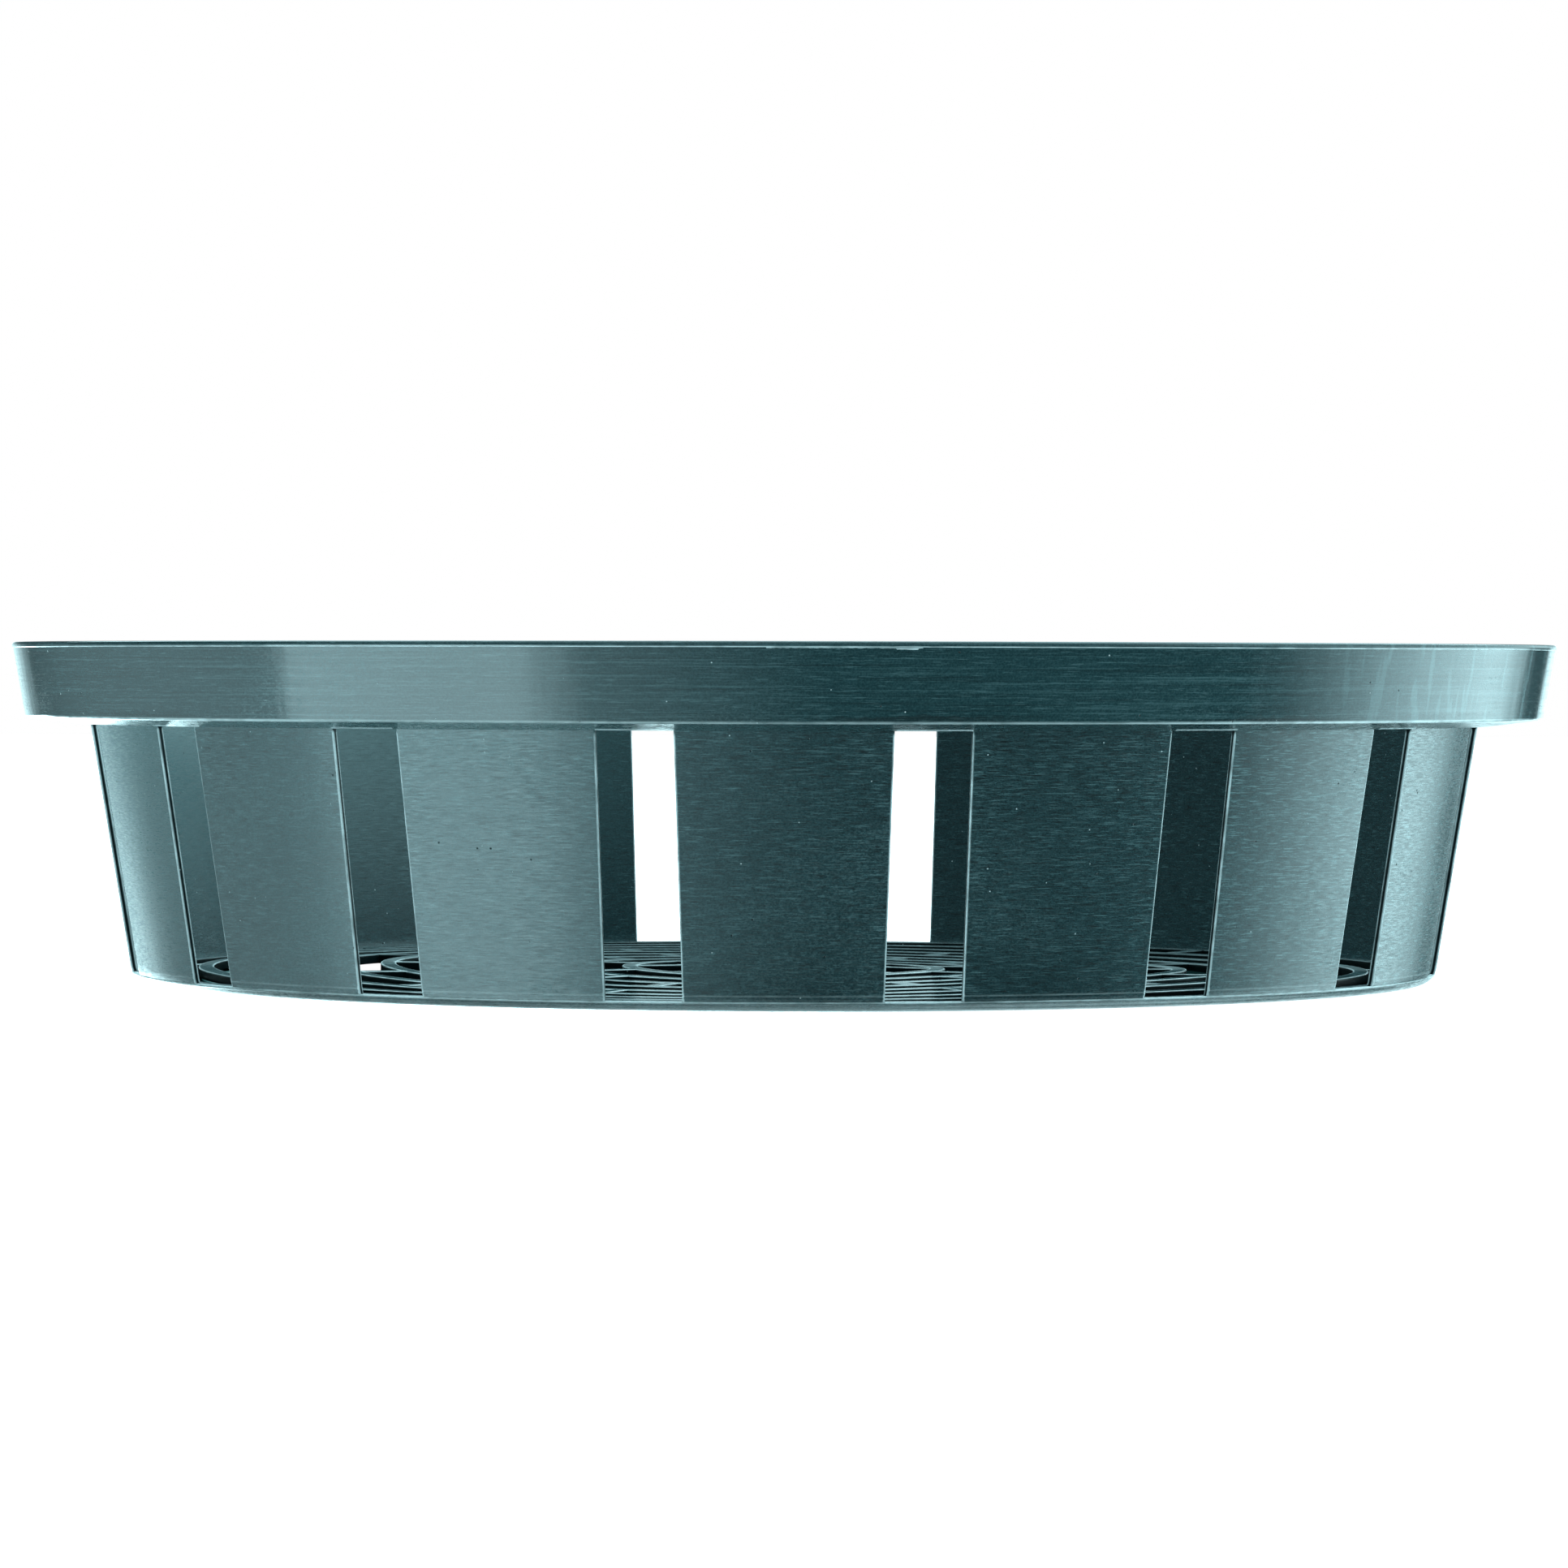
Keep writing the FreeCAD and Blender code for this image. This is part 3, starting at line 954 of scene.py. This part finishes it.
# %% Fine relief
ripple = grains(170, 6, 2.0)
relief = skin.plus(skin.times(lines, 0.018),
                   skin.times(grain, skin.blend(on_band, 0.005, 0.003)),
                   skin.times(ripple, skin.blend(on_band, 0.03, 0.06)),
                   skin.times(dust, 0.04))
relief = skin.math("SUBTRACT", relief, skin.times(pits, 0.04))
bump = skin.add("ShaderNodeBump", named={"Height": relief, "Strength": 1.0, "Distance": 1.0 * MM})
skin.plug(bump.outputs["Normal"], surface.inputs["Normal"])
print("plastic has", len(plastic.node_tree.nodes), "nodes")

# %% [markdown]
# ## The table
#
# The photograph has a pure white ground with no shadow, so the table glows white to
# the camera. It is clear to mirror rays outside the floor, because the wall mirrors
# lights that stand below the level of the table. Under the floor its colour is black, a
# painted shadow that the plastic mirrors, and what the camera sees through the floor is
# a painted soft shade: white at the left, dark at the right, and dark under the foot's
# border.

# %% Make the table
TABLE_HALF = 4.0
COOL = (0.64, 0.945, 1.0, 1)
SHADE_TONE = (0.15, 0.8, 0.85, 1)
SHADE_FROM, SHADE_TO, SHADE_LEAST = -66 * MM, 50 * MM, 0.02
BORDER_FROM, BORDER_TO = 101 * MM, 106 * MM
ground_mesh = bpy.data.meshes.new("ground")
corners = [(x * TABLE_HALF, y * TABLE_HALF, 0.0) for x, y in ((-1, -1), (1, -1), (1, 1), (-1, 1))]
ground_mesh.from_pydata(corners, [], [(0, 1, 2, 3)])
ground = bpy.data.objects.new("ground", ground_mesh)
bpy.context.collection.objects.link(ground)
ground_finish = bpy.data.materials.new("white_table")
ground_finish.use_nodes = True
table = Bench(ground_finish.node_tree)
white = ground_finish.node_tree.nodes["Principled BSDF"]
white.inputs["Specular IOR Level"].default_value = 0.0
ray = table.add("ShaderNodeLightPath").outputs
spot = table.add("ShaderNodeTexCoord").outputs["Object"]
from_middle = table.vector_number("LENGTH", spot)
far = table.math("GREATER_THAN", from_middle, LATTICE_RADIUS)
spot_x = table.add("ShaderNodeSeparateXYZ", spot).outputs[0]
# Painted shade seen through the floor: white at the left, dark at the right and under the border
shade = table.ramp(spot_x, SHADE_FROM, SHADE_TO, 1.0, SHADE_LEAST, curve="SMOOTHSTEP")
shade = table.times(shade, table.ramp(from_middle, BORDER_FROM, BORDER_TO, 1.0, 0.0))
glow = table.math("MAXIMUM", far, shade)
# Painted shadow: black colour under the floor
table.plug(table.times(far, 0.8), white.inputs["Base Color"])
table.plug(table.times(ray["Is Camera Ray"], glow), white.inputs["Emission Strength"])
table.plug(table.tinted(glow, SHADE_TONE, WHITE), white.inputs["Emission Color"])
clear = table.add("ShaderNodeBsdfTransparent").outputs[0]
clear_share = table.times(far, ray["Is Glossy Ray"])
sheet = table.add("ShaderNodeMixShader", clear_share, white.outputs[0], clear).outputs[0]
table.plug(sheet, ground_finish.node_tree.nodes["Material Output"].inputs["Surface"])
ground_mesh.materials.append(ground_finish)
ground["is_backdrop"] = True
print("table is", 2 * TABLE_HALF, "m wide")

# %% [markdown]
# ## The room
#
# The plastic mirrors a few large soft boxes that stand round it below the level of the
# table. The wall leans out, so it mirrors down and away, never the camera. Each box is
# a window in the light of the room: it begins and ends at a bearing, and each of its
# two ends is sharp or soft. A bearing of 0 is in front of the basket, and a positive
# one is at the right. Rises are in degrees too, and below 0 is under the table's level.
# Each pair of angles says where a fade starts and where it is done. One more box lies
# low at the back left. It lights the wall's far left edge but not the rim, which
# mirrors higher up. The light is cool.

# %% The soft boxes
ALWAYS_BEGUN, NEVER_ENDS = (-400, -300), (400, 300)
SOFT_BOXES = (
    ((-80.5, -79), (-28, -42), 4.2),
    ((-160, -80), (12, -45), 2.0),
    ((69, 114), (150, 126), 5.2),
    ((157, 163), NEVER_ENDS, 2.0),
    (ALWAYS_BEGUN, (-148, -168), 1.7))
LOW_BOX = (ALWAYS_BEGUN, (-145, -152), 16.0)
ABOVE_BOX = ((40, 80), (175, 150), 1.5)
BOX_TOP, BOX_FOOT, BOX_FADED = (8, -4), (-60, -26), 0.75
LOW_BOX_TOP, LOW_BOX_FOOT = (-5.4, -7.4), (-32, -20)
DEEP, DEEP_LIGHT = (-28, -50), 0.5
OVERHEAD, OVERHEAD_LIGHT = (35, 60), 1.5
HORIZON = (-2, 8)
LEAST_BELOW, LEAST_ABOVE = 0.10, 0.12
world = bpy.data.worlds.new("studio")
bpy.context.scene.world = world
world.use_nodes = True
room = Bench(world.node_tree)
way = room.add("ShaderNodeSeparateXYZ", room.add("ShaderNodeTexCoord").outputs["Generated"]).outputs
bearing = room.math("DEGREES", room.math("ARCTAN2", way[0], room.times(way[1], -1.0)))
rise = room.math("DEGREES", room.math("ARCSINE", way[2]))


def soft_step(value, start, end):
    """0 before start, 1 after end, and a smooth rise between. End may be the lower one."""
    step = room.ramp(value, min(start, end), max(start, end), curve="SMOOTHSTEP")
    return step if start < end else room.rest(step)


def soft_box(begin, end, strength):
    """Light of one box. Begin and end are pairs: where the fade starts and is done."""
    return room.times(soft_step(bearing, *begin), soft_step(bearing, *end), strength)


boxes = room.plus(*[soft_box(*box) for box in SOFT_BOXES])
low_light = room.times(soft_box(*LOW_BOX), soft_step(rise, *LOW_BOX_TOP),
                       soft_step(rise, *LOW_BOX_FOOT))
boxes = room.plus(boxes, low_light)
full_height = room.times(soft_step(rise, *BOX_FOOT), soft_step(rise, *BOX_TOP))
below = room.plus(room.times(boxes, room.blend(full_height, BOX_FADED, 1.0)), LEAST_BELOW,
                  room.times(soft_step(rise, *DEEP), DEEP_LIGHT))
above = room.plus(soft_box(*ABOVE_BOX), LEAST_ABOVE,
                  room.times(soft_step(rise, *OVERHEAD), OVERHEAD_LIGHT))
is_above = soft_step(rise, *HORIZON)
room_light = room.plus(room.times(above, is_above), room.times(below, room.rest(is_above)))
seen = room.add("ShaderNodeLightPath").outputs["Is Camera Ray"]
strength = room.plus(room.times(room_light, room.rest(seen)), seen)
background = world.node_tree.nodes["Background"]
room.plug(room.tinted(seen, COOL, WHITE), background.inputs["Color"])
room.plug(strength, background.inputs["Strength"])
print("room has", len(SOFT_BOXES) + 2, "soft boxes")

# %% [markdown]
# ## The lamp and the camera
#
# One soft lamp above and behind the basket lights the tops of the floor and the lip.
# The camera looks almost level from about 1.2 metres with a long lens. Its place and
# lens were found by fitting the basket's edges to those in the photograph.

# %% The lamp


def soft_lamp(name, place, aim, width, height, watts):
    """A rectangular soft lamp that shines at a point. It isn't seen itself."""
    data = bpy.data.lights.new(name, "AREA")
    data.shape = "RECTANGLE"
    data.size, data.size_y, data.energy = width, height, watts
    data.color = COOL[:3]
    lamp = bpy.data.objects.new(name, data)
    bpy.context.collection.objects.link(lamp)
    lamp.location = place
    lamp.rotation_euler = (Vector(aim) - Vector(place)).to_track_quat("-Z", "Y").to_euler()
    lamp.visible_camera = False
    return lamp


lamp = soft_lamp("top_back_lamp", place=(0.0, 0.9, 0.9), aim=(0, 0, 0), width=1.6, height=0.8,
                 watts=12)
print(lamp.name, "has", lamp.data.energy, "W")

# %% The camera
FOCAL_PIXELS = 7906.0
PHOTO_PIXELS = 1932
SENSOR_WIDTH = 36
CAMERA_PLACE = (0, -1.1719, 0.05698)
CAMERA_DIP = 1.054
CAMERA_ROLL = 0.127
camera = bpy.data.cameras.new("camera")
camera_object = bpy.data.objects.new("camera", camera)
bpy.context.collection.objects.link(camera_object)
camera.sensor_width = SENSOR_WIDTH
camera.lens = FOCAL_PIXELS / PHOTO_PIXELS * SENSOR_WIDTH
camera.clip_start = 0.1
camera_object.matrix_world = (Matrix.Translation(CAMERA_PLACE)
                              @ Matrix.Rotation(math.radians(90 - CAMERA_DIP), 4, "X")
                              @ Matrix.Rotation(math.radians(CAMERA_ROLL), 4, "Z"))
bpy.context.scene.camera = camera_object
bpy.context.scene.view_settings.view_transform = "Standard"
print("lens", round(camera.lens, 1), "mm")

# %% Sizes and the end
new_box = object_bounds()
for label, box in (("CAD box", cad_box), ("visual box", new_box)):
    print(label, [round(v, 5) for corner in box for v in corner])
